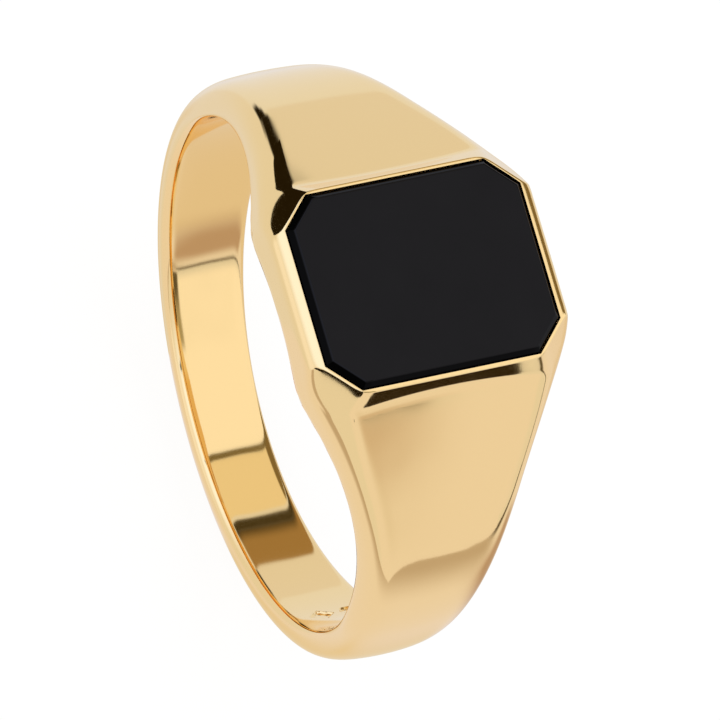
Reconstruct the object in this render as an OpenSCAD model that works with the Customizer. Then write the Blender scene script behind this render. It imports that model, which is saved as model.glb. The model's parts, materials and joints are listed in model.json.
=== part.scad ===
// Signet ring: a cast band with tapered shoulders and a cut-corner head,
// a black stone tablet let into the head, and the cement bed that holds it.
// Origin at the centre of the finger hole, Y along the finger, +Z out of the head.

/* [Finger hole] */
// Radius of the finger hole
hole_r = 9.5; // [7.5:0.05:12]

/* [Band] */
// Metal thickness of the band
band_t = 1.3; // [1:0.05:2]
// Band width at the back of the finger
back_w = 2.9; // [2:0.1:5]
// Band width level with the finger axis
side_w = 4.4; // [3:0.1:7]
// Bevel of the band's outer edges at the back
edge_bevel = 0.65; // [0.3:0.05:0.9]

/* [Head] */
// Height of the rim above the finger hole
head_rise = 1.9; // [1.7:0.05:3.5]
// Length of the rim opening, around the finger
open_l = 7.4; // [5:0.1:10]
// Width of the rim opening, along the finger
open_w = 9.3; // [6:0.1:12]
// Cut taken off each corner of the opening
open_cut = 1.15; // [0.6:0.05:2]
// Flat land on top of the rim
rim_land = 0.12; // [0.08:0.01:0.4]
// Slope of the rim's outer walls from upright, in degrees
rim_slope = 28; // [15:1:40]
// Metal beside the opening, on each side across the finger
cheek_t = 0.55; // [0.4:0.05:1.5]

/* [Shoulders] */
// Drop of the rim wall before the shoulder flat starts
shoulder_drop = 0.6; // [0.3:0.05:1]
// Width of the shoulders half way down
shoulder_w = 7.4; // [5:0.1:10]
// Width of the shoulders where they run into the band
taper_w = 5.6; // [4:0.1:8]

/* [Stone] */
// Depth of the stone pocket below the rim
pocket_d = 1.15; // [0.8:0.05:1.4]
// Height of the stone's table above the rim
stone_proud = 0.24; // [0:0.02:0.5]
// Width of the stone's bevel
stone_bevel = 0.2; // [0.1:0.02:0.5]
// Gap between the stone and the pocket wall
stone_gap = 0.03; // [0.01:0.01:0.1]
// Thickness of the cement bed
cement_t = 0.1; // [0.05:0.01:0.2]

/* [Finish] */
// Depth of the small punch mark inside the band
mark_d = 0.08; // [0.04:0.01:0.15]
// Smoothness of the round surfaces
$fn = 180; // [60:20:240]

/* [Hidden] */

big = 40;
outer_r = hole_r + band_t;
head_h = hole_r + head_rise;
head_w = open_w + 2 * cheek_t;
gold = [0.93, 0.77, 0.48];
black = [0.05, 0.05, 0.06];
grey = [0.55, 0.54, 0.5];

// half sizes of the rim's outer top edge
rim_x = open_l / 2 + rim_land;
rim_y = open_w / 2 + rim_land;
rim_cut = open_cut + rim_land * (2 - sqrt(2));

// where the shoulder flat leaves the rim wall, and where it meets the round band
flat_x = rim_x + shoulder_drop * tan(rim_slope);
flat_z = head_h - shoulder_drop;
flat_r = norm([flat_x, flat_z]);
flat_a = atan2(flat_x, flat_z) + acos(outer_r / flat_r);

// sides of the band: lean outward from the back towards the head
lean = (side_w - back_w) / 2 / outer_r;
lean_a = atan(lean);

// the shoulders' plan: full width along the head, then two tapers
corner_x = open_l / 2 - open_cut + 0.45;
end_x = 0.77 * outer_r;
mid_x = (corner_x + end_x) / 2 + 0.35;

// the band's edge bevel fades out where the shoulders begin
bevel_lift = 0.68 * edge_bevel;
fade_z = outer_r * (edge_bevel / bevel_lift - 1);

// a rectangle with its four corners cut off, given by half sizes
module cut_rect(hx, hy, cut) {
  polygon([[hx, cut - hy], [hx, hy - cut], [hx - cut, hy], [cut - hx, hy],
           [-hx, hy - cut], [-hx, cut - hy], [cut - hx, -hy], [hx - cut, -hy]]);
}

// takes off what lies outside a wall that faces each azimuth and leans in towards height z
module trim_wall(azimuths, dist, z, slope) {
  for (a = azimuths)
    rotate([0, 0, a]) translate([dist, 0, z]) rotate([0, -slope, 0])
      translate([0, -big / 2, -big / 2]) cube([big / 2, big, big]);
}

// distance of a cut corner's wall from the middle
function corner_dist(hx, hy, cut) = (hx + hy - cut) / sqrt(2);

// outline seen along the finger
module front_outline() {
  circle(outer_r);
  polygon([[0, 0], [outer_r * sin(flat_a), outer_r * cos(flat_a)],
           [flat_x, flat_z], [rim_x, head_h], [-rim_x, head_h], [-flat_x, flat_z],
           [-outer_r * sin(flat_a), outer_r * cos(flat_a)]]);
}

// outline seen from above the head
module plan_outline() {
  half = [[0, head_w / 2], [corner_x, head_w / 2], [mid_x, shoulder_w / 2],
          [end_x, taper_w / 2], [outer_r, side_w / 2 - 0.1]];
  polygon(concat(half, [for (i = [4:-1:1]) [half[i][0], -half[i][1]]],
                 [for (p = half) [-p[0], -p[1]]],
                 [for (i = [4:-1:1]) [-half[i][0], half[i][1]]]));
}

// outline seen along the band at the head: narrow at the back, wide at the top
module side_outline() {
  b = back_w / 2;
  s = side_w / 2;
  t = taper_w / 2 + 0.3;
  h = head_w / 2;
  polygon([[-b, -outer_r], [b, -outer_r], [s, 0], [t, hole_r / 2], [h, hole_r - 1],
           [h, head_h], [-h, head_h], [-h, hole_r - 1], [-t, hole_r / 2], [-s, 0]]);
}

// what the bevel takes off one edge of the band
module edge_cut() {
  r = outer_r - edge_bevel + bevel_lift;
  w = side_w / 2 * cos(lean_a);
  difference() {
    translate([-big / 2, 0, -big / 2]) cube([big, big / 2, big / 2 + fade_z]);
    rotate([-lean_a, 0, 0]) translate([0, w, bevel_lift]) rotate([90, 0, 0])
      translate([0, 0, -5]) cylinder(h = 20, r1 = r - 5, r2 = r + 15);
  }
}

// lozenge and dot punched inside the band
module punch_mark() {
  rotate([0, 121, 0]) translate([0, 0, hole_r - 1]) {
    translate([0, -0.55, 0]) rotate([0, 0, 45]) cube([0.75, 0.75, 2 + 2 * mark_d], center = true);
    translate([0, 0.5, 0]) cylinder(h = 1 + mark_d, r = 0.35);
  }
}

module ring_body() {
  color(gold) difference() {
    intersection() {
      rotate([90, 0, 0]) linear_extrude(height = big, center = true) front_outline();
      linear_extrude(height = big, center = true) plan_outline();
      rotate([90, 0, 90]) linear_extrude(height = big, center = true) side_outline();
    }
    trim_wall([90, 270], rim_y, head_h, rim_slope);
    trim_wall([45, 135, 225, 315], corner_dist(rim_x, rim_y, rim_cut), head_h, rim_slope);
    edge_cut();
    mirror([0, 1, 0]) edge_cut();
    rotate([90, 0, 0]) cylinder(h = big, r = hole_r, center = true);
    translate([0, 0, head_h - pocket_d]) linear_extrude(height = 3)
      cut_rect(open_l / 2, open_w / 2, open_cut);
    punch_mark();
  }
}

module onyx_stone() {
  hx = open_l / 2 - stone_gap;
  hy = open_w / 2 - stone_gap;
  low = pocket_d - cement_t;
  top = head_h + stone_proud;
  slope = atan(stone_bevel / (stone_proud + 0.02));
  color(black) difference() {
    translate([0, 0, head_h - low]) linear_extrude(height = low + stone_proud)
      cut_rect(hx, hy, open_cut);
    trim_wall([0, 180], hx - stone_bevel, top, slope);
    trim_wall([90, 270], hy - stone_bevel, top, slope);
    trim_wall([45, 135, 225, 315], corner_dist(hx, hy, open_cut) - stone_bevel, top, slope);
  }
}

module cement_bed() {
  color(grey) translate([0, 0, head_h - pocket_d]) linear_extrude(height = cement_t)
    cut_rect(open_l / 2 - stone_gap, open_w / 2 - stone_gap, open_cut);
}

ring_body();
onyx_stone();
cement_bed();
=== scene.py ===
import json
import math
import bpy
import bmesh
import numpy as np
from mathutils import Matrix, Vector

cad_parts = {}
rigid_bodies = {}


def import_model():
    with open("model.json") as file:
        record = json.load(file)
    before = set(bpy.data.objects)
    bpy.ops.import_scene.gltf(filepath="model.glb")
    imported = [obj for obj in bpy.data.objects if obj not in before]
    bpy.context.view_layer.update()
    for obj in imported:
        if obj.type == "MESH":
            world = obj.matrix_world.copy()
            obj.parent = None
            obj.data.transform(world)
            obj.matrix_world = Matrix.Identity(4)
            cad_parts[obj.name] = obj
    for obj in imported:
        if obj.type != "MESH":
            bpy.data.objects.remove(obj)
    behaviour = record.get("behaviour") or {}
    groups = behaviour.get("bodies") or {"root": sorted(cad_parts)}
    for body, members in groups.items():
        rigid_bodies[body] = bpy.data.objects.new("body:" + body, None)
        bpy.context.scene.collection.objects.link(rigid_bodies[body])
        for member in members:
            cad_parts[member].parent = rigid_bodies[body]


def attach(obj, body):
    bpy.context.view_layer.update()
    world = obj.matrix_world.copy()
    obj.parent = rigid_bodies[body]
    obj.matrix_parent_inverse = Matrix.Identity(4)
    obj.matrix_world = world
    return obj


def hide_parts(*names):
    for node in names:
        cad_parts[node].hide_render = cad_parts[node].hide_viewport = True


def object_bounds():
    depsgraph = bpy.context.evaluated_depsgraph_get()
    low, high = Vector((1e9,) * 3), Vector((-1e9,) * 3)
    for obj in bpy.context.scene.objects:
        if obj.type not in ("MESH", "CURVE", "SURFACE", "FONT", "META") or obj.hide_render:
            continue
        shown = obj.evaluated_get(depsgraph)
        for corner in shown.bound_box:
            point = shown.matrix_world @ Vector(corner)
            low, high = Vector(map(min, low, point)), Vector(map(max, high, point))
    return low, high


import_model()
cadBox = [list(map(float, corner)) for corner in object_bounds()]
mm = 0.001
print("frame loaded, box in mm:", [[round(v / mm, 2) for v in corner] for corner in cadBox])


# helpers that every piece uses

def hexLinear(code):
    # an sRGB hex colour as linear numbers: ((c + 0.055) / 1.055) ^ 2.4 above the toe, c / 12.92 in it
    raw = [int(code[i:i + 2], 16) / 255 for i in (1, 3, 5)]
    return tuple(c / 12.92 if c <= 0.04045 else ((c + 0.055) / 1.055) ** 2.4 for c in raw) + (1.0,)


def addNode(tree, kind, settings=None, links=None):
    # one node with its settings and what feeds its inputs
    node = tree.nodes.new(kind)
    for key, value in (settings or {}).items():
        if isinstance(key, str) and hasattr(node, key):
            setattr(node, key, value)
        else:
            node.inputs[key].default_value = value
    for key, source in (links or {}).items():
        tree.links.new(source, node.inputs[key])
    return node


def softMax(a, b, width):
    # the larger of a and b, rounded over as wide as width where the two meet:
    # max(a, b) + width / 6 * (1 - |a - b| / width)^3
    gap = np.clip(1 - np.abs(a - b) / width, 0, None)
    return np.maximum(a, b) + width / 6 * gap ** 3


def softMin(a, b, width):
    # the smaller of a and b, rounded the same way
    return -softMax(-a, -b, width)


def meshObject(name, points, faces, material):
    # puts points in mm and faces into a mesh, welds its seams and turns every face outwards; edges that
    # turn by more than sharpOver stay crisp
    weldGap, sharpOver = 1e-7, math.radians(50)        # metres, and an angle
    mesh = bpy.data.meshes.new(name)
    mesh.from_pydata((points * mm).tolist(), [], faces)
    work = bmesh.new()
    work.from_mesh(mesh)
    bmesh.ops.remove_doubles(work, verts=work.verts, dist=weldGap)
    bmesh.ops.recalc_face_normals(work, faces=work.faces)
    work.to_mesh(mesh)
    work.free()
    mesh.shade_smooth()
    mesh.set_sharp_from_angle(angle=sharpOver)
    mesh.materials.append(material)
    piece = bpy.data.objects.new(name, mesh)
    bpy.context.scene.collection.objects.link(piece)
    return piece


# ring body: band, shoulders and head in one casting

ringBody = {
    "holeRadius": 9.5,
    "outerRadius": 10.8,
    "headHeight": 11.4,
    "rimX": 3.84, "rimSum": 7.38,                     # outer edge of the rim: half length, half width, corner
    "openX": 3.72, "openY": 4.68, "openSum": 7.26,     # the opening inside it
    "latticeStep": 0.06,
    "rimSlope": math.radians(28), "cornerSlope": math.radians(34),
    "shoulderDrop": 0.6,
    "cheek": 5.2,                                      # half width of the head
    "plan": [(3.05, 5.2), (6.0, 3.68), (8.3, 2.80), (10.8, 2.10)],        # x, half width
    "planSoft": 0.5, "shoulderSoft": 0.6, "sideSoft": 0.3,
    "backHalf": 1.45, "sideHalf": 2.2, "sideLean": 0.19,
    "neckHalf": 3.1, "neckLean": 0.56, "neckHeight": 4.75,
    "armAngle": math.radians(45),                      # where the shoulders leave the round band
    "blendFrom": 0.95, "blendOver": 0.85,              # radians: shoulder's section turns into the band's
    "crownBand": 0.055, "crownShoulder": 0.010,        # how much the outside is domed across, 1/mm
    "edgeBand": 1.3, "edgeShoulder": 1.15,             # widths of the rounded edges
    "cornerSoft": 0.35, "cheekSoft": 1.0, "rimSoft": 0.06, "filletSoft": 0.12, "comfortSoft": 0.60,
    "wallFoot": 9.6,
    "pocketFloor": 10.25,
    "markDepth": 0.08, "markAngle": math.radians(121), "markSoft": 0.08,
    "lozengeHalf": 0.5, "lozengeY": -0.55, "dotRadius": 0.34, "dotY": 0.5,
}

# how finely the casting is cut: columns round the finger, rows round the section
ringSteps = {
    "flatX": 42, "endX": 65, "coarseX": 11,            # lattice steps to where the fine zone starts and ends
    "flatY": 58, "endY": 81, "coarseY": 16,
    "wallArc": 2.9, "wallColumns": 25,                 # degrees past the head's edge
    "shoulderEnd": 62, "shoulderColumns": 92, "bandColumns": 200,
    "markReach": 0.11, "markColumns": 44,              # radians each side of the punch mark
    "fanRows": 26, "underRows": 66,
    "arcPeak": math.radians(41.9), "leastCos": 0.3, "widestTurn": 1.2,       # the guess at the outside
    "nothing": 1e-6,                                   # mm, less than this is no distance
    "inset": 0.40, "insetMore": 0.12, "insetFrom": 0.4, "insetOver": 0.8,     # rays start this far inside
    "reach": 6.0, "halvings": 44,                      # how far a ray may go, and how often it is halved
    "pocketRows": 6,
}


def lineThrough(a, b, x):
    # straight line through two plan points
    return a[1] + (b[1] - a[1]) / (b[0] - a[0]) * (x - a[0])


def halfWidth(ax, z):
    # half the band's width: the smaller of what the plan's tapers allow at this x and what the side's
    # slopes allow at this height, every change of slope softened
    d = ringBody
    p = d["plan"]
    taper = softMax(lineThrough(p[1], p[2], ax), lineThrough(p[2], p[3], ax), d["planSoft"])
    taper = softMax(lineThrough(p[0], p[1], ax), taper, d["shoulderSoft"])
    plan = softMin(d["cheek"] + 0 * ax, taper, d["planSoft"])
    lean = (d["sideHalf"] - d["backHalf"]) / d["outerRadius"]
    side = softMax(d["sideHalf"] + lean * z, d["sideHalf"] + d["sideLean"] * z, d["sideSoft"])
    side = softMax(side, d["neckHalf"] + d["neckLean"] * (z - d["neckHeight"]), d["shoulderSoft"])
    return softMin(plan, side, d["sideSoft"])


def ringField(x, y, z):
    # below zero inside the metal, above zero outside: the softened largest of the band's outside,
    # the side walls, the corner facets, the rim plane and the finger hole
    d = ringBody
    ax, ay = np.abs(x), np.abs(y)
    r = np.hypot(x, z)
    t = np.arctan2(ax, z)
    blend = np.clip((t - d["blendFrom"]) / d["blendOver"], 0, 1)
    blend = blend * blend * (3 - 2 * blend)
    crown = d["crownShoulder"] + (d["crownBand"] - d["crownShoulder"]) * blend
    outside = shoulderArc(t, ax, z) + crown * y * y
    rise = d["headHeight"] - z
    slope = d["rimSlope"]
    rimWall = (ax - d["rimX"] - rise * math.tan(slope)) * math.cos(slope)
    rimWall = np.maximum(rimWall, d["wallFoot"] - z)
    outside = softMin(outside, rimWall, d["filletSoft"])
    side = ay - halfWidth(ax, z)
    lean = d["cornerSlope"]
    corner = ((ax + ay - d["rimSum"]) / math.sqrt(2) - rise * math.tan(lean)) * math.cos(lean)
    edge = d["edgeShoulder"] + (d["edgeBand"] - d["edgeShoulder"]) * blend
    shell = softMax(softMax(outside, side, edge), corner, d["cornerSoft"])
    cheek = softMax(z - d["headHeight"], side, d["cheekSoft"])
    shell = softMax(shell, cheek, d["rimSoft"])
    mark = punchMark(t, y, z, x)
    return softMax(shell, d["holeRadius"] + mark - r, d["comfortSoft"])


def shoulderArc(t, ax, z):
    # the band's outside seen from the side: a circle round the finger hole, and above armAngle a much
    # larger circle, tangent to the first, that climbs to the foot of the rim wall
    d = ringBody
    a = d["armAngle"]
    footX = d["rimX"] + d["shoulderDrop"] * math.tan(d["rimSlope"])
    footZ = d["headHeight"] - d["shoulderDrop"]
    along = footX * math.sin(a) + footZ * math.cos(a)
    radius = (footX ** 2 + footZ ** 2 + d["outerRadius"] ** 2 - 2 * d["outerRadius"] * along) \
        / (2 * (d["outerRadius"] - along))
    back = radius - d["outerRadius"]
    large = np.hypot(ax + back * math.sin(a), z + back * math.cos(a)) - radius
    return np.where(t < a, large, np.hypot(ax, z) - d["outerRadius"])


def punchMark(t, y, z, x):
    # depth of the lozenge and dot punched inside the band, with soft edges
    d = ringBody
    along = (t - d["markAngle"]) * d["holeRadius"]
    lozenge = d["lozengeHalf"] - (np.abs(along) + np.abs(y - d["lozengeY"]))
    dot = d["dotRadius"] - np.hypot(along, y - d["dotY"])
    shape = np.clip(np.maximum(lozenge, dot) / d["markSoft"], 0, 1)
    return d["markDepth"] * shape * (x > 0)


def evenThenFine(flat, end, coarse):
    # from one side of the head to the other: wide steps over the stone, lattice steps near its corners
    size = ringBody["latticeStep"]
    half = np.concatenate([np.linspace(0, flat * size, coarse)[:-1], np.arange(flat, end) * size])
    return np.concatenate([-half[:0:-1], half])


def ringGrid():
    # columns go round the finger, rows go round the section; every row's ray leaves a line inside
    # the metal and is followed to where ringField crosses zero, halving the span each time
    d, n = ringBody, ringSteps
    headX = evenThenFine(n["flatX"], n["endX"], n["coarseX"])
    headT = np.arctan2(headX, d["headHeight"])         # the columns' turns, first over the head
    wall = np.radians(np.linspace(0, n["wallArc"], n["wallColumns"])[1:]) + headT[-1]
    turnEnd = math.radians(n["shoulderEnd"])
    shoulder = np.linspace(wall[-1], turnEnd, n["shoulderColumns"])[1:]
    band = np.linspace(turnEnd, math.radians(360 - n["shoulderEnd"]), n["bandColumns"])[1:-1]
    markZone = np.abs(band - d["markAngle"]) < n["markReach"]
    markBand = d["markAngle"] + np.linspace(-n["markReach"], n["markReach"], n["markColumns"])
    band = np.sort(np.concatenate([band[~markZone], markBand]))
    t = np.concatenate([headT, wall, shoulder, band, 2 * math.pi - shoulder[::-1], 2 * math.pi - wall[::-1]])
    topY = evenThenFine(n["flatY"], n["endY"], n["coarseY"])       # the rows: top, side, hole, side
    lim = topY[-1]
    fan = n["fanRows"]
    lowY = np.linspace(1, -1, n["underRows"])
    latY = np.concatenate([topY, np.full(fan, lim), lowY * lim, np.full(fan, -lim)])
    turn = np.concatenate([np.zeros(len(topY)), np.linspace(0, math.pi, fan + 2)[1:-1],
                           np.full(len(lowY), math.pi), np.linspace(math.pi, 2 * math.pi, fan + 2)[1:-1]])
    # where each column's line lies: half way from the hole to the outside, and a little narrower
    tt = np.minimum(t, 2 * math.pi - t)
    reach = d["outerRadius"] / np.cos(np.clip(n["arcPeak"] - tt, 0, 1))
    reach = np.minimum(reach, d["headHeight"] / np.maximum(np.cos(tt), n["leastCos"]))
    mid = (d["holeRadius"] + reach) / 2
    wide = halfWidth(mid * np.sin(tt), mid * np.cos(tt))
    inset = n["inset"] + n["insetMore"] * np.clip((tt - n["insetFrom"]) / n["insetOver"], 0, 1)
    room = wide - inset
    latX = d["headHeight"] * np.tan(np.clip(tt, 0, n["widestTurn"]))
    keep = np.clip(d["rimSum"] + d["latticeStep"] - latX, 0, None)      # lattice kept as it is up to here
    keep = np.minimum(keep, np.minimum(lim, room))
    spare = np.maximum(lim - keep, n["nothing"])
    span = np.where(lim - keep > n["nothing"], (room - keep) / spare, 1)
    a = np.abs(latY)[None, :]
    y0 = np.where(a <= keep[:, None], a, keep[:, None] + (a - keep[:, None]) * span[:, None])
    y0 = np.sign(latY)[None, :] * y0
    # follow the rays
    dirR, dirY = np.cos(turn)[None, :], np.sin(turn)[None, :]
    low = np.zeros(y0.shape)
    high = np.full(y0.shape, n["reach"])
    sinT, cosT = np.sin(t)[:, None], np.cos(t)[:, None]
    for halving in range(n["halvings"]):
        m = (low + high) / 2
        r = mid[:, None] + m * dirR
        out = ringField(r * sinT, y0 + m * dirY, r * cosT) > 0
        high = np.where(out, m, high)
        low = np.where(out, low, m)
    r = mid[:, None] + low * dirR
    return headX, topY, np.stack([r * sinT, y0 + low * dirY, r * cosT], -1)


def ringMesh():
    # joins the grid into triangles, leaves out the opening and adds the pocket's walls and floor
    d = ringBody
    headX, topY, grid = ringGrid()
    cols, rows = grid.shape[:2]
    none = ringSteps["nothing"]
    index = np.arange(cols * rows).reshape(cols, rows)
    a, b = index, np.roll(index, -1, 0)
    c, e = np.roll(b, -1, 1), np.roll(a, -1, 1)
    points = grid.reshape(-1, 3)
    centre = (grid + np.roll(grid, -1, 0)) / 2
    across = np.sign(centre[..., 0] * centre[..., 1])  # each quad is split along the cut corner's way
    one = np.where((across > 0)[..., None], np.stack([a, b, e], -1), np.stack([a, b, c], -1))
    two = np.where((across > 0)[..., None], np.stack([b, c, e], -1), np.stack([a, c, e], -1))
    tris = np.concatenate([one.reshape(-1, 3), two.reshape(-1, 3)])
    mid = points[tris].mean(1)
    inside = ((np.abs(mid[:, 0]) < d["openX"]) & (np.abs(mid[:, 1]) < d["openY"])
              & (np.abs(mid[:, 0]) + np.abs(mid[:, 1]) < d["openSum"])
              & (mid[:, 2] > (d["headHeight"] + d["pocketFloor"]) / 2))
    tris = tris[~inside]
    # the opening's outline, walked on the lattice
    size = d["latticeStep"]
    steps = round((d["openX"] + d["openY"] - d["openSum"]) / size)
    sideX = headX[np.abs(headX) <= d["openX"] - steps * size + none]
    sideY = topY[np.abs(topY) <= d["openY"] - steps * size + none]
    k = np.arange(1, steps) * size
    x1, y1 = sideX[-1], sideY[-1]
    px = np.concatenate([np.full(len(sideY), d["openX"]), d["openX"] - k, sideX[::-1], -x1 - k,
                         np.full(len(sideY), -d["openX"]), -d["openX"] + k, sideX, x1 + k])
    py = np.concatenate([sideY, y1 + k, np.full(len(sideX), d["openY"]), d["openY"] - k,
                         sideY[::-1], -y1 - k, np.full(len(sideX), -d["openY"]), -d["openY"] + k])
    lip = grid[np.searchsorted(headX, px - none), np.searchsorted(topY, py - none)]
    levels = ringSteps["pocketRows"]
    depth = np.linspace(0, 1, levels)[:, None, None]
    floor = lip * [1, 1, 0] + [0, 0, d["pocketFloor"]]
    walls = lip[None] * (1 - depth) + floor[None] * depth
    n = len(lip)
    base = len(points)
    ring = np.arange(levels * n).reshape(levels, n) + base
    quads = np.stack([ring[:-1], ring[1:], np.roll(ring[1:], -1, 1), np.roll(ring[:-1], -1, 1)], -1)
    quads = quads.reshape(-1, 4)
    allPoints = np.concatenate([points, walls.reshape(-1, 3)])
    used = np.unique(np.concatenate([tris.ravel(), quads.ravel()]))
    place = np.full(len(allPoints), -1)
    place[used] = np.arange(len(used))
    faces = place[tris].tolist() + place[quads].tolist() + [place[ring[-1]].tolist()]
    return allPoints[used], faces


def goldMaterial(name, tint):
    # polished yellow gold plate over brass: a mirror with faint lapping grain, a soft, uneven polish and
    # the slight swell that a buffing wheel leaves
    values = {"grainMm": 0.05, "grainDepth": 0.01, "bump": 0.015, "swellMm": 2.4, "swellDepth": 0.012,
              "cloudMm": 2.5, "smooth": 0.045, "rough": 0.10}
    mat = bpy.data.materials.new(name)
    mat.use_nodes = True
    tree = mat.node_tree
    tree.nodes.clear()
    coord = addNode(tree, "ShaderNodeTexCoord")
    cloud = addNode(tree, "ShaderNodeTexNoise", {"Scale": 1 / (values["cloudMm"] * mm), "Detail": 4.0},
                    {"Vector": coord.outputs["Object"]})
    grain = addNode(tree, "ShaderNodeTexNoise", {"Scale": 1 / (values["grainMm"] * mm), "Detail": 2.0},
                    {"Vector": coord.outputs["Object"]})
    polish = addNode(tree, "ShaderNodeMapRange", {"To Min": values["smooth"], "To Max": values["rough"]},
                     {"Value": cloud.outputs["Fac"]})
    swell = addNode(tree, "ShaderNodeTexNoise", {"Scale": 1 / (values["swellMm"] * mm), "Detail": 1.0},
                    {"Vector": coord.outputs["Object"]})
    wave = addNode(tree, "ShaderNodeBump", {"Strength": 1.0, "Distance": values["swellDepth"] * mm},
                   {"Height": swell.outputs["Fac"]})
    bump = addNode(tree, "ShaderNodeBump",
                   {"Strength": values["bump"], "Distance": values["grainDepth"] * mm},
                   {"Height": grain.outputs["Fac"], "Normal": wave.outputs["Normal"]})
    shader = addNode(tree, "ShaderNodeBsdfPrincipled", {"Base Color": hexLinear(tint), "Metallic": 1.0},
                     {"Roughness": polish.outputs["Result"], "Normal": bump.outputs["Normal"]})
    addNode(tree, "ShaderNodeOutputMaterial", None, {"Surface": shader.outputs["BSDF"]})
    return mat


def trueNormals(mesh):
    # takes each face corner's normal from ringField's slope: the field a little ahead less the field a
    # little behind along each axis; the pocket's own walls and floor keep their flat normals
    d = ringBody
    ahead, spare = 0.004, 0.005                        # mm
    count = len(mesh.loops)
    vertex = np.empty(count, np.int32)
    mesh.loops.foreach_get("vertex_index", vertex)
    spots = np.empty(len(mesh.vertices) * 3)
    mesh.vertices.foreach_get("co", spots)
    spots = spots.reshape(-1, 3) / mm
    faceCount = len(mesh.polygons)
    flat, middle = np.empty(faceCount * 3), np.empty(faceCount * 3)
    total = np.empty(faceCount, np.int32)
    mesh.polygons.foreach_get("normal", flat)
    mesh.polygons.foreach_get("center", middle)
    mesh.polygons.foreach_get("loop_total", total)
    flat, middle = flat.reshape(-1, 3), middle.reshape(-1, 3) / mm
    slope = np.stack([ringField(*(spots + ahead * axis).T) - ringField(*(spots - ahead * axis).T)
                      for axis in np.eye(3)], -1)
    slope /= np.linalg.norm(slope, axis=1, keepdims=True)
    ax, ay = np.abs(middle[:, 0]), np.abs(middle[:, 1])
    pocket = ((ax < d["openX"] + spare) & (ay < d["openY"] + spare) & (ax + ay < d["openSum"] + spare)
              & (middle[:, 2] > d["pocketFloor"] - 2 * spare))
    owner = np.repeat(np.arange(faceCount), total)
    normals = np.where(pocket[owner][:, None], flat[owner], slope[vertex])
    mesh.normals_split_custom_set(normals.tolist())


points, faces = ringMesh()
gold = goldMaterial("gold plate, mirror polish", "#ffdf9f")
ringPiece = meshObject("ring_body_gold_cast", points, faces, gold)
trueNormals(ringPiece.data)
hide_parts("ring_body")
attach(ringPiece, "root")
print("ring body:", len(points), "points,", len(faces), "faces")


# stone: a flat tablet with a bevelled edge

stoneTablet = {
    "halfX": 3.67, "halfY": 4.62, "halfSum": 7.17,
    "seat": 10.35, "table": 11.64,
    "bevelWide": 0.20, "bevelTall": 0.26, "bevelSoft": 0.05,
    "footSoft": 0.06, "sideSteps": 24,
    "wallRise": np.linspace(0.1, 1, 6),                # shares of the wall's height
    "shrinks": np.linspace(0.92, 0.1, 10),             # rings over the table, as shares of its size
    "bevelShadeBand": (0.05, 0.01),                         # mm below the table: over this band the bevel's painted shade turns to the table's colour and gleam
}


def stoneSection(width):
    # the tablet's outline at one inset: an octagon with its corners cut at 45 degrees,
    # each side cut in the same number of steps
    d = stoneTablet
    hx, hy = d["halfX"] - width, d["halfY"] - width
    total = d["halfSum"] - width * math.sqrt(2)
    cx, cy = total - hy, total - hx
    ring = [(hx, -cy), (hx, cy), (cx, hy), (-cx, hy), (-hx, cy), (-hx, -cy), (-cx, -hy), (cx, -hy)]
    out = []
    for i, p in enumerate(ring):
        q = ring[(i + 1) % 8]
        k = np.linspace(0, 1, d["sideSteps"] + 1)[:-1, None]
        out.append(np.array(p) * (1 - k) + np.array(q) * k)
    return np.concatenate(out)


def stackRings(line, inset, shrinks):
    # stone outlines stacked by inset and height, then shrunk to the middle; the last two faces close
    # the bottom and the middle of the top
    around = 8 * stoneTablet["sideSteps"]
    rings = [np.column_stack([stoneSection(inset + w), np.full(around, z)]) for w, z in line]
    rings += [rings[-1] * [k, k, 1] for k in shrinks]
    index = np.arange(len(rings) * around).reshape(len(rings), around)
    quads = np.stack([index[:-1], np.roll(index[:-1], -1, 1), np.roll(index[1:], -1, 1), index[1:]], -1)
    caps = [index[0][::-1].tolist(), index[-1].tolist()]
    return np.concatenate(rings), quads.reshape(-1, 4).tolist() + caps


def roundCorner(before, corner, after):
    # seven points on the curve (1 - k)^2 before + 2 k (1 - k) corner + k^2 after
    return [tuple((1 - k) ** 2 * before + 2 * k * (1 - k) * corner + k ** 2 * after)
            for k in np.linspace(0, 1, 7)]


def stoneMesh():
    # profile up the wall, round the bevel's two soft edges, then in over the table to its centre
    d = stoneTablet
    foot, r = d["footSoft"], d["bevelSoft"]
    low = d["table"] - d["bevelTall"]
    line = [(foot, d["seat"]), (0.0, d["seat"] + foot)]
    line += [(0.0, d["seat"] + foot + (low - d["seat"] - 2 * foot) * k) for k in d["wallRise"]]
    start, end = np.array([0.0, low]), np.array([d["bevelWide"], d["table"]])
    way = (end - start) / np.hypot(*(end - start))
    up, into = np.array([0.0, 1.0]), np.array([1.0, 0.0])
    line += roundCorner(start - up * r, start, start + way * r)
    line += roundCorner(end - way * r, end, end + into * r)
    return stackRings(line, 0.0, d["shrinks"])


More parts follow.
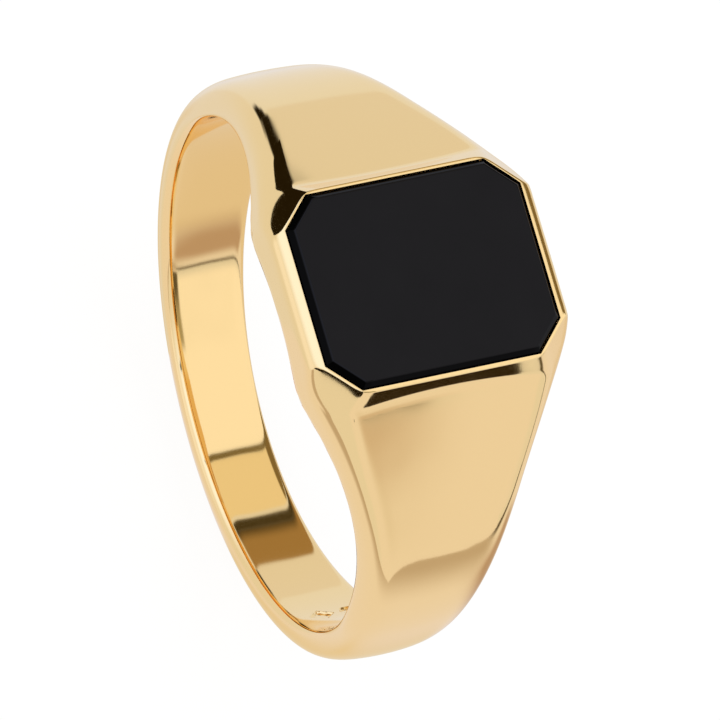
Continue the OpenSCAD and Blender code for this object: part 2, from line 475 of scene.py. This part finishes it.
def onyxMaterial():
    # black onyx, polished: near black with a deep, slow clouding and a clear glassy skin; the bevel, lower
    # than the table, carries painted shade: it is coloured darker and gleams less than the table
    values = {"cloudMm": 1.8, "deep": "#100f11", "light": "#161517", "edge": "#040404",
              "smooth": 0.05, "rough": 0.12, "edgeGleam": 0.03, "tableGleam": 0.10}
    mat = bpy.data.materials.new("black onyx, polished")
    mat.use_nodes = True
    tree = mat.node_tree
    tree.nodes.clear()
    coord = addNode(tree, "ShaderNodeTexCoord")
    cloud = addNode(tree, "ShaderNodeTexNoise", {"Scale": 1 / (values["cloudMm"] * mm), "Detail": 6.0},
                    {"Vector": coord.outputs["Object"]})
    colour = addNode(tree, "ShaderNodeMix", {"data_type": "RGBA", 6: hexLinear(values["deep"]),
                                             7: hexLinear(values["light"])}, {0: cloud.outputs["Fac"]})
    polish = addNode(tree, "ShaderNodeMapRange", {"To Min": values["smooth"], "To Max": values["rough"]},
                     {"Value": cloud.outputs["Fac"]})
    split = addNode(tree, "ShaderNodeSeparateXYZ", None, {"Vector": coord.outputs["Object"]})
    start, end = [(stoneTablet["table"] - below) * mm for below in stoneTablet["bevelShadeBand"]]
    # painted shade: this mask is 0 on the bevel, which takes the darker edge colour and less gleam, and 1 on
    # the table
    face = addNode(tree, "ShaderNodeMapRange", {"From Min": start, "From Max": end},
                   {"Value": split.outputs["Z"]})
    body = addNode(tree, "ShaderNodeMix", {"data_type": "RGBA", 6: hexLinear(values["edge"])},
                   {0: face.outputs["Result"], 7: colour.outputs[2]})
    gleam = addNode(tree, "ShaderNodeMapRange",
                    {"To Min": values["edgeGleam"], "To Max": values["tableGleam"]},
                    {"Value": face.outputs["Result"]})
    shader = addNode(tree, "ShaderNodeBsdfPrincipled", {"IOR": 1.54},
                     {"Base Color": body.outputs[2], "Roughness": polish.outputs["Result"],
                      "Specular IOR Level": gleam.outputs["Result"]})
    addNode(tree, "ShaderNodeOutputMaterial", None, {"Surface": shader.outputs["BSDF"]})
    return mat


stonePoints, stoneFaces = stoneMesh()
stonePiece = meshObject("onyx_tablet", stonePoints, stoneFaces, onyxMaterial())
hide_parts("onyx_stone")
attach(stonePiece, "root")
print("stone:", len(stonePoints), "points")


# cement: the thin bed between the pocket's floor and the stone

cementBed = {
    "inset": 0.02, "soft": 0.02,
    "low": ringBody["pocketFloor"], "high": stoneTablet["seat"],
    "shrinks": np.linspace(0.9, 0.1, 8),
}


def cementMesh():
    # thin slab of the stone's own outline, its rim eased a little at top and bottom
    d = cementBed
    low, high, soft = d["low"], d["high"], d["soft"]
    line = [(soft, low), (0.0, low + soft), (0.0, high - soft), (soft, high)]
    return stackRings(line, d["inset"], d["shrinks"])


def cementMaterial():
    # two-part epoxy, set hard: light grey, matt, with fine filler grain and small sunken bubbles
    values = {"grainMm": 0.08, "bubbleMm": 0.35, "bubbleDepth": 0.02, "dark": "#b3b0a8", "pale": "#cbc8c0",
              "bump": 0.4}
    mat = bpy.data.materials.new("epoxy setting cement, matt")
    mat.use_nodes = True
    tree = mat.node_tree
    tree.nodes.clear()
    coord = addNode(tree, "ShaderNodeTexCoord")
    grain = addNode(tree, "ShaderNodeTexNoise", {"Scale": 1 / (values["grainMm"] * mm), "Detail": 5.0},
                    {"Vector": coord.outputs["Object"]})
    bubbles = addNode(tree, "ShaderNodeTexVoronoi", {"Scale": 1 / (values["bubbleMm"] * mm)},
                      {"Vector": coord.outputs["Object"]})
    colour = addNode(tree, "ShaderNodeMix", {"data_type": "RGBA", 6: hexLinear(values["dark"]),
                                             7: hexLinear(values["pale"])}, {0: grain.outputs["Fac"]})
    bump = addNode(tree, "ShaderNodeBump",
                   {"Strength": values["bump"], "Distance": values["bubbleDepth"] * mm},
                   {"Height": bubbles.outputs["Distance"]})
    shader = addNode(tree, "ShaderNodeBsdfPrincipled", {"Roughness": 0.75, "IOR": 1.55},
                     {"Base Color": colour.outputs[2], "Normal": bump.outputs["Normal"]})
    addNode(tree, "ShaderNodeOutputMaterial", None, {"Surface": shader.outputs["BSDF"]})
    return mat


cementPoints, cementFaces = cementMesh()
cementPiece = meshObject("setting_cement_bed", cementPoints, cementFaces, cementMaterial())
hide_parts("cement_bed")
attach(cementPiece, "root")
print("cement:", len(cementPoints), "points")


# floor, light and camera

studio = {
    "floor": cadBox[0][2] / mm,
    "towardCamera": (0.190, -0.391, 0.901), "right": (0.278, 0.901, 0.333),
    "distance": 0.8, "lensMm": 1104.2, "sensorMm": 36, "aimRight": 1.528, "aimUp": 0.121,
    "nearest": 0.05, "farthest": 10,                   # metres
    "floorHalf": 3.0, "floorGlow": 0.9, "paper": (0.12, 0.12, 0.12, 1),
}


def placeCamera():
    # a long lens on the object's own axes; the aim is a little off the ring's centre
    d = studio
    back = Vector(d["towardCamera"]).normalized()
    right = (Vector(d["right"]) - back * Vector(d["right"]).dot(back)).normalized()
    up = back.cross(right)
    data = bpy.data.cameras.new("studio camera")
    data.lens = d["lensMm"]
    data.sensor_width = d["sensorMm"]
    data.clip_start, data.clip_end = d["nearest"], d["farthest"]
    camera = bpy.data.objects.new("studio camera", data)
    aim = (right * d["aimRight"] + up * d["aimUp"]) * mm
    turn = Matrix((right, up, back)).transposed().to_4x4()
    camera.matrix_world = Matrix.Translation(aim + back * d["distance"]) @ turn
    bpy.context.scene.collection.objects.link(camera)
    bpy.context.scene.camera = camera


def onlyFor(piece, camera=False, diffuse=False, glossy=False):
    # which rays meet this stage piece; none of them throws a shadow
    piece.visible_camera = camera
    piece.visible_diffuse = diffuse
    piece.visible_glossy = glossy
    piece.visible_transmission = False
    piece.visible_shadow = False


def plainFloor():
    # pale paper sheet under the ring, lit through from below so that the shadow on it stays faint
    half, z = studio["floorHalf"], studio["floor"] * mm
    mesh = bpy.data.meshes.new("floor")
    corners = [(-half, -half, z), (half, -half, z), (half, half, z), (-half, half, z)]
    mesh.from_pydata(corners, [], [(0, 1, 2, 3)])
    mat = bpy.data.materials.new("white paper, lit through")
    mat.use_nodes = True
    shader = mat.node_tree.nodes["Principled BSDF"]
    shader.inputs["Base Color"].default_value = studio["paper"]
    shader.inputs["Roughness"].default_value = 1.0
    shader.inputs["Specular IOR Level"].default_value = 0.0
    shader.inputs["Emission Color"].default_value = (1, 1, 1, 1)
    shader.inputs["Emission Strength"].default_value = studio["floorGlow"]
    mesh.materials.append(mat)
    piece = bpy.data.objects.new("floor", mesh)
    bpy.context.scene.collection.objects.link(piece)
    onlyFor(piece, camera=True, diffuse=True)
    piece.visible_shadow = True


def softWhite():
    # even white all round, for the paper and the backdrop
    world = bpy.data.worlds.new("studio")
    bpy.context.scene.world = world
    world.use_nodes = True
    back = world.node_tree.nodes["Background"]
    back.inputs["Color"].default_value = (1, 1, 1, 1)
    back.inputs["Strength"].default_value = 1.0
    world.cycles_visibility.glossy = False


def between(tree, value, low, high, softLow, softHigh):
    # 1 between low and high, easing to 0 outside them over the soft widths
    rise = addNode(tree, "ShaderNodeMapRange", {
        "interpolation_type": "SMOOTHSTEP", "From Min": low - softLow / 2, "From Max": low + softLow / 2},
        {"Value": value})
    fall = addNode(tree, "ShaderNodeMapRange", {
        "interpolation_type": "SMOOTHSTEP", "From Min": high - softHigh / 2, "From Max": high + softHigh / 2,
        "To Min": 1.0, "To Max": 0.0}, {"Value": value})
    return mathNode(tree, "MULTIPLY", rise.outputs["Result"], fall.outputs["Result"])


def mathNode(tree, operation, first, second=None):
    # one sum on sockets or numbers
    node = tree.nodes.new("ShaderNodeMath")
    node.operation = operation
    for slot, source in enumerate((first, second)):
        if source is None:
            continue
        if isinstance(source, (int, float)):
            node.inputs[slot].default_value = source
        else:
            tree.links.new(source, node.inputs[slot])
    return node.outputs[0]


def paintCards(tree, start, one, two, cards):
    # lays the cards over one another, each a soft-edged box in the two values
    colour = None
    for card in cards:
        lo1, hi1, lo2, hi2 = card["box"]
        e = card["soft"]
        mask = mathNode(tree, "MULTIPLY", between(tree, one, lo1, hi1, e[0], e[1]),
                        between(tree, two, lo2, hi2, e[2], e[3]))
        mix = addNode(tree, "ShaderNodeMix", {"data_type": "RGBA", 7: card["light"] + (1.0,)}, {0: mask})
        if colour is None:
            mix.inputs[6].default_value = start + (1.0,)
        else:
            tree.links.new(colour, mix.inputs[6])
        colour = mix.outputs[2]
    return colour


def glowMaterial(name, coordKind, start, cards):
    # a surface that only glows, painted with cards; on the tent their two values are the angle round the
    # finger, arctan(x / z), and the angle along it, arcsin(y / radius), and elsewhere they are mm
    mat = bpy.data.materials.new(name)
    mat.use_nodes = True
    tree = mat.node_tree
    tree.nodes.clear()
    coord = addNode(tree, "ShaderNodeTexCoord")
    split = addNode(tree, "ShaderNodeSeparateXYZ", None, {"Vector": coord.outputs["Object"]})
    x, y, z = split.outputs
    if coordKind == "angles":
        # round the finger from the head's middle, and along the finger, both in degrees
        one = mathNode(tree, "MULTIPLY", mathNode(tree, "ARCTAN2", x, z), math.degrees(1))
        share = mathNode(tree, "DIVIDE", y, tent["radius"] * mm)
        two = mathNode(tree, "MULTIPLY", mathNode(tree, "ARCSINE", share), math.degrees(1))
    else:
        one = mathNode(tree, "DIVIDE", x, mm)
        two = mathNode(tree, "DIVIDE", y, mm)
    glow = addNode(tree, "ShaderNodeEmission", {"Strength": 1.0, "Color": start + (1.0,)})
    if cards:
        tree.links.new(paintCards(tree, start, one, two, cards), glow.inputs["Color"])
    addNode(tree, "ShaderNodeOutputMaterial", None, {"Surface": glow.outputs["Emission"]})
    return mat


# light tent, the cloth and panels that the polish mirrors. Box: from and to round the finger from the
# head's middle, then from and to along the finger, in degrees. Soft: the widths over which its four edges
# ease. Light: linear red, green and blue strengths, as some panels are brighter than white. The places
# and strengths are not round studio sizes: they were fitted to the studio camera's view, with the help
# of traced mirror rays
tent = {
    "radius": 400, "around": 96, "along": 48,
    "cloth": (0.80, 0.81, 0.87),
    "cards": [
        {"box": (-17.5, 64, 12, 95), "soft": (1.5, 6, 4, 1), "light": (1.0, 0.99, 1.03)},  # front panel
        {"box": (-60, 34, -52, 6), "soft": (50, 50, 60, 14), "light": (1.06, 1.20, 1.66)},  # top soft box
        {"box": (-200, 200, -95, -64), "soft": (1, 1, 1, 24), "light": (0.95, 0.98, 1.15)},  # side window
        {"box": (31, 66, -2, 21.2), "soft": (8, 2, 4, 2.2), "light": (0.40, 0.36, 0.24)},
        {"box": (52, 66, -2, 21.2), "soft": (14, 2, 4, 2.2), "light": (0.12, 0.10, 0.06)},
        {"box": (-50, -21.5, 10, 95), "soft": (1.5, 1.5, 4, 1), "light": (0.84, 0.75, 0.58)},  # side panel
        {"box": (-50, -18, 31, 95), "soft": (3, 1.5, 5, 1), "light": (0.22, 0.16, 0.07)},
        {"box": (-21.5, -18.3, 12, 95), "soft": (1.0, 1.0, 4, 1), "light": (0.18, 0.14, 0.06)},  # gap
        {"box": (-80, -58, 16, 95), "soft": (3, 2, 3, 1), "light": (0.35, 0.225, 0.095)},  # brown board
        {"box": (-61, -52.3, 14, 95), "soft": (9, 1.5, 3, 1), "light": (0.06, 0.045, 0.018)},
        {"box": (-185, -104, 2, 60), "soft": (1, 3, 8, 8), "light": (0.82, 0.86, 0.99)},
        {"box": (-106, -80, 17, 60), "soft": (3, 3, 3, 8), "light": (0.78, 0.78, 0.84)},
        {"box": (-190, -156, -4, 40), "soft": (1, 16, 14, 14), "light": (0.78, 0.69, 0.52)},  # warm backdrop
        {"box": (155, 190, -8, 40), "soft": (16, 1, 16, 14), "light": (0.76, 0.68, 0.54)},
        {"box": (-112, -101, 2.5, 10.5), "soft": (5, 3, 4, 3), "light": (0.015, 0.010, 0.003)},  # black flag
        {"box": (-108, -101, 2.5, 13), "soft": (4, 3, 4, 3), "light": (0.015, 0.010, 0.003)},
        {"box": (-102.5, -80, 4.5, 15.5), "soft": (4, 6, 4, 3), "light": (0.015, 0.010, 0.003)},
        {"box": (-98, -80, 4.5, 17), "soft": (5, 6, 4, 3), "light": (0.015, 0.010, 0.003)},
        {"box": (67, 112, -12, 40), "soft": (2, 4, 10, 10), "light": (0.85, 0.83, 0.905)},  # paper sheet
        {"box": (66.5, 92, 8, 18), "soft": (1.5, 26, 16, 14), "light": (0.775, 0.745, 0.77)},
        {"box": (66.5, 72.5, 9, 20), "soft": (1.5, 9, 12, 10), "light": (0.655, 0.57, 0.54)},
        {"box": (106.5, 170, 19.5, 31), "soft": (2, 2, 2, 3), "light": (0.024, 0.015, 0.004)},  # front flag
    ],
}


def lightTent():
    # ball of cloth round the ring that only mirror reflections see
    work = bmesh.new()
    bmesh.ops.create_uvsphere(work, u_segments=tent["around"], v_segments=tent["along"],
                              radius=tent["radius"] * mm)
    mesh = bpy.data.meshes.new("tent")
    work.to_mesh(mesh)
    work.free()
    mesh.shade_smooth()
    mesh.materials.append(glowMaterial("tent cloth", "angles", tent["cloth"], tent["cards"]))
    piece = bpy.data.objects.new("tent", mesh)
    bpy.context.scene.collection.objects.link(piece)
    onlyFor(piece, glossy=True)


# board that the ring leans over, a sheet that only glows and that only mirror reflections see: its colours,
# the lighter and the darker cards alike, are painted light. Its lengths (mm) run forward from where it comes
# closest, then along the finger; the edge lists along, then forward. Its points from -0.75 to 6.6 are rounded
# results of tracing mirror rays, not chosen sizes
paintedLightBoard = {
    "up": (-0.769, 0.0, 0.639), "touch": 10.95, "slope": 0.124, "back": -24.0,
    "edge": [(-40, 22), (-17, 18.6), (-13, 16.6), (-6, 14.2), (-1.6, 12.9), (-0.75, 12.6), (0.6, 13.6),
             (2.0, 14.35), (2.7, 14.9), (3.3, 15.2), (4.5, 15.06), (5.9, 15.05), (6.6, 15.45),
             (7.2, 15.6), (10.4, 15.7), (10.7, 18.5), (19, 18.5), (19.3, 15.6), (40, 15.6)],
    "light": (0.84, 0.82, 0.90),
    "cards": [
        {"box": (-8, 5.0, -2.8, 3.6), "soft": (3, 3, 2, 2), "light": (0.80, 0.72, 0.58)},
        {"box": (-60, 3.5, 4, 60), "soft": (1, 4, 4, 1), "light": (0.77, 0.70, 0.64)},
        {"box": (12, 40, -60, 9), "soft": (5, 1, 1, 4), "light": (0.54, 0.47, 0.44)},
        {"box": (2.5, 11, 6, 15), "soft": (6, 4, 4, 4), "light": (0.50, 0.38, 0.33)},
        {"box": (14.3, 30, 9, 60), "soft": (1.4, 1, 3, 1), "light": (0.10, 0.08, 0.05)},
        {"box": (15.9, 30, 9.5, 60), "soft": (0.4, 1, 0.5, 1), "light": (0.80, 0.81, 0.87)},
    ],
}


def leanBoard():
    # two strips meeting under the ring; the front one slopes away and has a cut edge
    up = Vector(paintedLightBoard["up"]).normalized()
    along = Vector((0, 1, 0))
    front = along.cross(up)
    n = len(paintedLightBoard["edge"])
    points = [(paintedLightBoard["back"] * mm, y * mm, 0) for y, f in paintedLightBoard["edge"]]
    points += [(0, y * mm, 0) for y, f in paintedLightBoard["edge"]]
    points += [(f * mm, y * mm, -f * paintedLightBoard["slope"] * mm) for y, f in paintedLightBoard["edge"]]
    faces = [(r * n + k, (r + 1) * n + k, (r + 1) * n + k + 1, r * n + k + 1)
             for r in (0, 1) for k in range(n - 1)]
    mesh = bpy.data.meshes.new("paintedLightBoard")
    mesh.from_pydata(points, [], faces)
    # painted light: the board glows in its own painted colours, lighter and darker cards over its base
    mesh.materials.append(glowMaterial("paintedLightBoard", "lengths", paintedLightBoard["light"], paintedLightBoard["cards"]))
    piece = bpy.data.objects.new("paintedLightBoard", mesh)
    turn = Matrix((front, along, up)).transposed().to_4x4()
    piece.matrix_world = Matrix.Translation(up * -paintedLightBoard["touch"] * mm) @ turn
    bpy.context.scene.collection.objects.link(piece)
    onlyFor(piece, glossy=True)


# little black flags on wires, close to two corners of the head: where each hangs, the way it faces
# back (round the finger, along it), how far out, and its outline in mm, fitted the same way
flags = [
    {"at": (-3.9, -4.1, 10.7), "facing": (-108, -8), "distance": 3.0, "light": (0.015, 0.010, 0.003),
     "outline": [(-1.15, 1.9), (-0.7, 1.3), (-0.35, 0.7), (-0.05, 0.1), (0, -0.6), (0, -1.5), (-0.15, -2.4),
                 (-0.3, -3.4), (7, -3.6), (7, 1.9)]},
    {"at": (3.7, -3.8, 11.0), "facing": (90, 0), "distance": 3.0, "light": (0.015, 0.010, 0.003),
     "outline": [(-3, -9), (-0.5, -9), (-0.4, -2.7), (0, 0), (-3, 0)]},
]


def hangFlags():
    # each flag is one flat sheet, square to the line from its corner
    for number, flag in enumerate(flags):
        a, s = map(math.radians, flag["facing"])
        out = Vector((math.sin(a) * math.cos(s), math.sin(s), math.cos(a) * math.cos(s)))
        one = Vector((0, 1, 0)).cross(out).normalized()
        two = out.cross(one)
        centre = Vector(flag["at"]) + out * flag["distance"]
        points = [(centre + one * u + two * v) * mm for u, v in flag["outline"]]
        mesh = bpy.data.meshes.new("flag")
        mesh.from_pydata(points, [], [tuple(range(len(points)))])
        mesh.materials.append(glowMaterial("black velvet", "lengths", flag["light"], []))
        piece = bpy.data.objects.new("flag " + str(number + 1), mesh)
        bpy.context.scene.collection.objects.link(piece)
        onlyFor(piece, glossy=True)


placeCamera()
plainFloor()
softWhite()
lightTent()
leanBoard()
hangFlags()
print("studio: camera, floor, tent with", len(tent["cards"]), "cards, board and", len(flags), "flags")
bpy.context.scene.view_settings.view_transform = "Standard"
